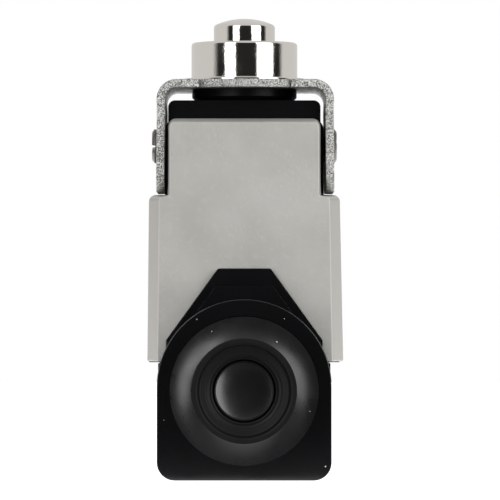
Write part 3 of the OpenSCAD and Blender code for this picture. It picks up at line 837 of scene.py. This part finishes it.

# %% [markdown]
# ## Painted side shade and edge highlight
# The cover's side walls are painted darker than its face, as painted shade, and its soft edges are
# painted lighter, as a painted highlight. Both can be told by how far the surface turns sideways, so the
# group reads the object's own normal.

# %% Painted side shade and edge highlight
# the first output is painted shade on the side walls, the second a painted highlight on the soft edges
painted_shade_group, given, give = effect("Painted side shade", {"Start": 0.6, "Full": 0.9}, ["Mask", "Painted highlight"])
place = painted_shade_group.nodes.new("ShaderNodeTexCoord")
split = painted_shade_group.nodes.new("ShaderNodeSeparateXYZ")
wire(painted_shade_group, place.outputs["Normal"], split.inputs[0])
sideways = math_node(painted_shade_group, "ABSOLUTE", split.outputs["X"], 0.0)
side = remap(painted_shade_group, sideways, given["Start"], given["Full"])
wire(painted_shade_group, side, give["Mask"])
soft = remap(painted_shade_group, sideways, 0.15, 0.4)
wire(painted_shade_group, math_node(painted_shade_group, "SUBTRACT", soft, side), give["Painted highlight"])
print("shared effects:", [group.name for group in bpy.data.node_groups])

# %% [markdown]
# ## Material helper
# A finish starts as a Principled shader with its plain values on its own sockets. Groups then add what
# changes over the surface: colour mixes, roughness and the height for a bump.

# %% Material helpers


class Finish:
    """A material with a Principled shader and short calls to add effects to it."""

    def __init__(self, name, colour, roughness, metallic=0.0, **values):
        self.material = bpy.data.materials.new(name)
        self.material.use_nodes = True
        self.tree = self.material.node_tree
        self.shader = self.tree.nodes["Principled BSDF"]
        self.shader.inputs["Base Color"].default_value = (*colour, 1)
        self.shader.inputs["Roughness"].default_value = roughness
        self.shader.inputs["Metallic"].default_value = metallic
        for label, value in values.items():
            self.shader.inputs[label.replace("_", " ")].default_value = value
        self.colour = None
        self.base = (*colour, 1)
        print("finish:", name)

    def group(self, group, **values):
        node = self.tree.nodes.new("ShaderNodeGroup")
        node.node_tree = group
        for label, value in values.items():
            node.inputs[label].default_value = value
        return node.outputs[0]

    def tint(self, mask, colour, strength=1.0):
        """Mixes another colour in where the mask is."""
        mix = self.tree.nodes.new("ShaderNodeMix")
        mix.data_type = "RGBA"
        mix.inputs["A"].default_value = self.base
        mix.inputs["B"].default_value = (*colour, 1)
        if self.colour:
            wire(self.tree, self.colour, mix.inputs["A"])
        wire(self.tree, math_node(self.tree, "MULTIPLY", mask, strength), mix.inputs["Factor"])
        self.colour = mix.outputs["Result"]
        wire(self.tree, self.colour, self.shader.inputs["Base Color"])

    def rough(self, mask, low, high):
        """Roughness from low to high over the mask."""
        wire(self.tree, remap(self.tree, mask, 0.0, 1.0, low, high), self.shader.inputs["Roughness"])

    def bump(self, height, distance_mm, strength=1.0, after=None):
        """Bumps the surface; after is the normal of an earlier bump."""
        node = self.tree.nodes.new("ShaderNodeBump")
        node.inputs["Strength"].default_value = strength
        node.inputs["Distance"].default_value = distance_mm * MM
        wire(self.tree, height, node.inputs["Height"])
        if after:
            wire(self.tree, after, node.inputs["Normal"])
        wire(self.tree, node.outputs["Normal"], self.shader.inputs["Normal"])
        return node.outputs["Normal"]


print("material helpers ready")

# %% [markdown]
# ## Grey plastic
# The cover is a grey moulding that has been handled: slightly patchy, with fine scratches and a little
# dust. Its side walls carry painted shade and its soft edges a painted highlight. It is nearly matt, so
# most of its look is colour, and two shallow bumps keep its reflections from being perfectly flat.

# %% Grey plastic
grey = Finish("Grey moulding", (0.386, 0.380, 0.357), 0.5, Specular_IOR_Level=0.05)
patches = grey.group(mottle_group, Scale=75.0, Low=0.38, High=0.62)
grey.tint(patches, (0.450, 0.445, 0.421), 0.9)
grey.tint(grey.group(mottle_group, Scale=900.0, Low=0.55, High=0.75), (0.47, 0.465, 0.44), 0.5)
grey.tint(grey.group(scratch_group, Scale=5200.0, Slant=0.5, Sparse=0.6), (0.49, 0.485, 0.46), 0.5)
grey.tint(grey.group(scratch_group, Scale=4600.0, Slant=-0.4, Sparse=0.62), (0.51, 0.505, 0.48), 0.4)
grey.tint(grey.group(dust_group, Scale=1400.0, Size=0.12, Share=0.2), (0.58, 0.58, 0.56), 0.5)
painted_side_shade = grey.group(painted_shade_group)
# painted shade: the side walls are darkened in colour
grey.tint(painted_side_shade, (0.325, 0.312, 0.292), 0.85)
# painted highlight: a lighter line along the soft edges
grey.tint(painted_side_shade.node.outputs["Painted highlight"], (0.52, 0.515, 0.49), 0.7)
grey.rough(patches, 0.45, 0.55)
fine = grey.bump(grey.group(grain_group, Scale=2600.0), 0.02, 0.25)
grey.bump(grey.group(mottle_group, Scale=500.0, Low=0.2, High=0.8), 0.02, 0.3, fine)

# %% [markdown]
# ## Black plastic
# The housing and the cap are a glossy black moulding. The colour is almost nothing, and the gloss does
# the work, so the roughness is low and varies a little. A few specks of dust give it scale.

# %% Black plastic
black = Finish("Black moulding", (0.0045, 0.0047, 0.0052), 0.15)
black.rough(black.group(mottle_group, Scale=200.0), 0.1, 0.15)
black.tint(black.group(dust_group, Scale=800.0, Size=0.09, Share=0.12), (0.45, 0.45, 0.45), 0.9)
black.bump(black.group(grain_group, Scale=3500.0), 0.01, 0.2)

# %% [markdown]
# ## Rubber
# One rubber looks different in different places. The cone is satin and gathers broad highlights, its
# lip is matt from handling, the plug is smooth from a polished mould, and the collar's rubber is dull,
# with a colour a little darker as painted shade under the yoke's plate.

# %% Rubber
rubber = Finish("Black rubber", (0.005, 0.005, 0.0058), 0.24)
rubber.rough(rubber.group(mottle_group, Scale=260.0), 0.25, 0.32)
rubber.tint(rubber.group(dust_group, Scale=800.0, Size=0.09, Share=0.15), (0.5, 0.5, 0.5), 0.9)
rubber.bump(rubber.group(grain_group, Scale=5000.0), 0.01, 0.3)

smooth = Finish("Smooth rubber", (0.007, 0.007, 0.0078), 0.2, Specular_IOR_Level=0.75)
smooth.rough(smooth.group(mottle_group, Scale=300.0), 0.19, 0.23)
smooth.bump(smooth.group(grain_group, Scale=900.0), 0.008, 0.3)

matte = Finish("Matte rubber", (0.005, 0.005, 0.0058), 0.5, Specular_IOR_Level=0.17)
matte.rough(matte.group(mottle_group, Scale=260.0), 0.45, 0.55)
matte.tint(matte.group(dust_group, Scale=800.0, Size=0.08, Share=0.12), (0.5, 0.5, 0.5), 0.9)
matte.bump(matte.group(grain_group, Scale=5000.0), 0.01, 0.3)

# painted shade: a colour a little darker than the other rubber, for the shade under the yoke's plate
shaded_seal = Finish("Seal rubber with painted shade", (0.0035, 0.0035, 0.004), 0.4, Specular_IOR_Level=0.12)
shaded_seal.rough(shaded_seal.group(mottle_group, Scale=300.0), 0.35, 0.45)

# %% [markdown]
# ## Nickel plate
# The bushing and the plunger are polished and plated, and they mirror the studio. Turning marks and
# small dents make the edges of the reflections ragged, which two faint bumps imitate.

# %% Nickel plate
nickel = Finish("Nickel plate", (0.80, 0.76, 0.71), 0.07, 1.0)
nickel.rough(nickel.group(mottle_group, Scale=300.0), 0.05, 0.11)
uneven = nickel.bump(nickel.group(scratch_group, Scale=2200.0, Slant=0.15, Sparse=0.6), 0.006, 0.5)
nickel.bump(nickel.group(grain_group, Scale=4200.0, Roughness=0.5), 0.010, 1.0, uneven)

# %% [markdown]
# ## Galvanised sheet
# Hot-dipped zinc freezes into small crystals, some bright and some dark. A mottle with its two levels
# close together draws them, and a strong fine bump scatters the light between them.

# %% Galvanised sheet
zinc = Finish("Galvanised sheet", (0.61, 0.61, 0.59), 0.34, 1.0)
spangle = zinc.group(mottle_group, Scale=5800.0, Low=0.43, High=0.57)
zinc.tint(spangle, (0.105, 0.106, 0.1), 0.95)
zinc.rough(spangle, 0.28, 0.45)
zinc.bump(zinc.group(grain_group, Scale=5200.0, Roughness=0.6), 0.16, 1.0)

# %% [markdown]
# ## Screws, brass, springs and silver
# These metals are small or hidden inside. Each has its own colour and an uneven gloss.

# %% Small metal parts
plated = Finish("Zinc plated screw", (0.13, 0.125, 0.115), 0.3, 1.0)
plated.rough(plated.group(mottle_group, Scale=600.0), 0.25, 0.45)
plated.bump(plated.group(grain_group, Scale=3000.0), 0.02, 0.3)

brass = Finish("Bare brass", (0.72, 0.50, 0.20), 0.25, 1.0)
brass.rough(brass.group(mottle_group, Scale=500.0), 0.18, 0.35)
brass.bump(brass.group(grain_group, Scale=3000.0), 0.01, 0.3)

wire_steel = Finish("Spring wire", (0.55, 0.55, 0.57), 0.25, 1.0)
wire_steel.rough(wire_steel.group(mottle_group, Scale=700.0), 0.18, 0.32)

silver = Finish("Silver tips", (0.86, 0.86, 0.86), 0.2, 1.0)
silver.rough(silver.group(mottle_group, Scale=900.0), 0.15, 0.35)

# %% [markdown]
# ## The works' plastics
# The contact block is a dark thermoset and the slider natural nylon. Neither shows from outside.

# %% Hidden plastics
thermoset = Finish("Contact block", (0.02, 0.02, 0.022), 0.4)
thermoset.rough(thermoset.group(mottle_group, Scale=300.0), 0.35, 0.5)
thermoset.bump(thermoset.group(grain_group, Scale=2500.0), 0.02, 0.3)

nylon = Finish("Natural nylon", (0.78, 0.77, 0.70), 0.4)
nylon.rough(nylon.group(mottle_group, Scale=300.0), 0.35, 0.5)
nylon.bump(nylon.group(grain_group, Scale=2500.0), 0.01, 0.3)

# %% [markdown]
# ## Painting
# The record names a material slot for each CAD node, so one table from slot to finish paints them all.
# The pieces made here are painted after them. Faces can also take a second material by their distance
# from the cable's axis, which is how the bushing's lip and the plug's rim become matt.

# %% Painting
FINISHES = {
    "grey_plastic": grey, "black_plastic": black, "black_rubber": rubber, "nickel": nickel,
    "galvanised_steel": zinc, "zinc_screw": plated, "brass": brass, "spring_steel": wire_steel,
    "silver": silver, "block_plastic": thermoset, "white_plastic": nylon,
}


def paint(piece, slot):
    """Gives a whole piece the finish of its slot."""
    piece.data.materials.clear()
    piece.data.materials.append(FINISHES[slot].material)


def paint_matte(piece, low, high):
    """Gives the faces between two distances from the cable's axis a matte finish."""
    piece.data.materials.append(matte.material)
    for face in piece.data.polygons:
        out = math.hypot(face.center.x, face.center.z - axis_z * MM)
        if low * MM < out < high * MM:
            face.material_index = 1


for sub in frame["record"]["subparts"]:
    node = frame["nodes"][sub["node"]]
    for holder in node.material_slots:
        holder.material = FINISHES[sub["material_slot"]].material
for piece, slot in ((bushing, "nickel"), (plunger, "nickel"), (collar, "black_rubber"),
                    (yoke, "galvanised_steel"), (screw_pieces[0], "zinc_screw"),
                    (screw_pieces[1], "zinc_screw"), (cover, "grey_plastic"),
                    (cap, "black_plastic"), (bung, "black_rubber"), (plug, "black_rubber"),
                    (return_coil, "spring_steel"), (bridge_coil, "spring_steel")):
    paint(piece, slot)
paint_matte(bung, 0, LIP)
plug.data.materials[0] = smooth.material
paint_matte(plug, RIM_R - 0.12, hole)
# the collar takes the seal rubber, whose darker colour is painted shade under the yoke's plate
collar.data.materials[0] = shaded_seal.material
print(len(FINISHES), "finishes")

# %% [markdown]
# ## The floor
# A white sheet that the switch stands on. It glows only round and behind the switch, so that it lights
# the underside without showing as a bright band in the black faces. To the camera it is plain white.

# %% Floor
FLOOR_GLOW = 1.8         # how brightly the floor round the switch is lit
floor_mesh = bmesh.new()
for x, y in ((-0.5, -0.12), (0.5, -0.12), (0.5, 1.0), (-0.5, 1.0)):
    floor_mesh.verts.new((x, y, cad_low.z - 0.0002))
floor_mesh.faces.new(floor_mesh.verts)
floor = shape("floor", floor_mesh)
white = Finish("White floor", (0.1, 0.1, 0.1), 0.6)
white.shader.inputs["Emission Color"].default_value = (1, 1, 1, 1)
spot = white.tree.nodes.new("ShaderNodeTexCoord")
split = white.tree.nodes.new("ShaderNodeSeparateXYZ")
wire(white.tree, spot.outputs["Object"], split.inputs[0])
lit = remap(white.tree, split.outputs["Y"], -0.043, -0.036, 0.0, FLOOR_GLOW)
seen = white.tree.nodes.new("ShaderNodeLightPath")
lit = math_node(white.tree, "MAXIMUM", lit, seen.outputs["Is Camera Ray"])
wire(white.tree, lit, white.shader.inputs["Emission Strength"])
paper = white.group(grain_group, Scale=800.0)
white.bump(paper, 0.02, 0.1)
floor.data.materials.append(white.material)
print("the floor lies at", round(cad_low.z / MM - 0.2, 2), "mm")

# %% [markdown]
# ## The room
# Polished metal shows the room itself, so the room decides how it looks. It is dark round the camera,
# with white walls to the sides and behind, and a white ceiling. Each wall is a step in the angle
# round the vertical axis, softened over ten degrees or so.

# %% Room
room = bpy.data.worlds.new("Studio")
bpy.context.scene.world = room
room.use_nodes = True
tree = room.node_tree
tree.nodes.clear()
place = tree.nodes.new("ShaderNodeTexCoord")
split = tree.nodes.new("ShaderNodeSeparateXYZ")
wire(tree, place.outputs["Generated"], split.inputs[0])
towards = math_node(tree, "MULTIPLY", split.outputs["Y"], -1.0)
angle = math_node(tree, "ARCTAN2", split.outputs["X"], towards)
degrees = math_node(tree, "MULTIPLY", angle, 180 / math.pi)
left_wall = remap(tree, degrees, -72.0, -60.0, 1.0, 0.0)
right_wall = remap(tree, degrees, 82.0, 92.0, 0.0, 1.0)
walls = math_node(tree, "MAXIMUM", left_wall, right_wall)
above = remap(tree, split.outputs["Z"], 0.4, 0.75)
walls = math_node(tree, "MAXIMUM", walls, above)
level = remap(tree, walls, 0.0, 1.0, 0.02, 0.69)
seen = tree.nodes.new("ShaderNodeLightPath")
level = math_node(tree, "MAXIMUM", level, seen.outputs["Is Camera Ray"])
sky = tree.nodes.new("ShaderNodeBackground")
sky.inputs["Color"].default_value = (1, 1, 1, 1)
wire(tree, level, sky.inputs["Strength"])
output = tree.nodes.new("ShaderNodeOutputWorld")
wire(tree, sky.outputs["Background"], output.inputs["Surface"])
print("made the world", room.name)

# %% [markdown]
# ## The lights
# Two tall soft lights stand to the left and right of the camera. They make the two bright stripes on
# the metal and the two lobes on the rubber cone. The camera itself doesn't see them.

# %% Lights


def soft_light(name, azimuth, elevation, distance, width, height, power):
    """A rectangular light that faces the middle of the switch; azimuth 0 is at the camera."""
    data = bpy.data.lights.new(name, "AREA")
    data.shape = "RECTANGLE"
    data.size, data.size_y = width, height
    data.energy = power
    lamp = bpy.data.objects.new(name, data)
    bpy.context.scene.collection.objects.link(lamp)
    a, e = math.radians(azimuth), math.radians(elevation)
    away = Vector((math.sin(a) * math.cos(e), -math.cos(a) * math.cos(e), math.sin(e)))
    lamp.location = Vector((0, 0, 0.035)) + away * distance
    lamp.rotation_euler = away.to_track_quat("Z", "Y").to_euler()
    lamp.visible_camera = False
    print(f"{name}: {power} W, {width} x {height} m")
    return lamp


soft_light("left light", -31, 12, 0.6, 0.22, 0.6, 2.0)
soft_light("right light", 46, 10, 0.6, 0.38, 0.6, 2.8)

# %% [markdown]
# ## Camera
# A long lens from straight ahead, level with the cable entry, so the underside of the yoke just shows.

# %% Camera
DISTANCE = 0.800         # from the plunger's axis
EYE = 0.027              # height of the lens
ASIDE = 0.0009           # how far it stands to the right of the middle
RISE = 0.00914           # how far above itself it aims, at the plunger's axis
FACE = 0.0135            # how far the cover's face stands in front of that axis
VIEW = 0.079             # width of what it sees there
lens = bpy.data.cameras.new("camera")
lens.sensor_width = 36
lens.lens = 36 * (DISTANCE - FACE) / VIEW
lens.clip_start, lens.clip_end = 0.05, 20
camera = bpy.data.objects.new("camera", lens)
bpy.context.scene.collection.objects.link(camera)
camera.location = (ASIDE, -DISTANCE, EYE)
aim = Vector((ASIDE, 0, EYE + RISE)) - camera.location
camera.rotation_euler = aim.to_track_quat("-Z", "Y").to_euler()
bpy.context.scene.camera = camera
bpy.context.scene.view_settings.view_transform = "Standard"
print(f"lens of {lens.lens:.0f} mm at {DISTANCE} m")
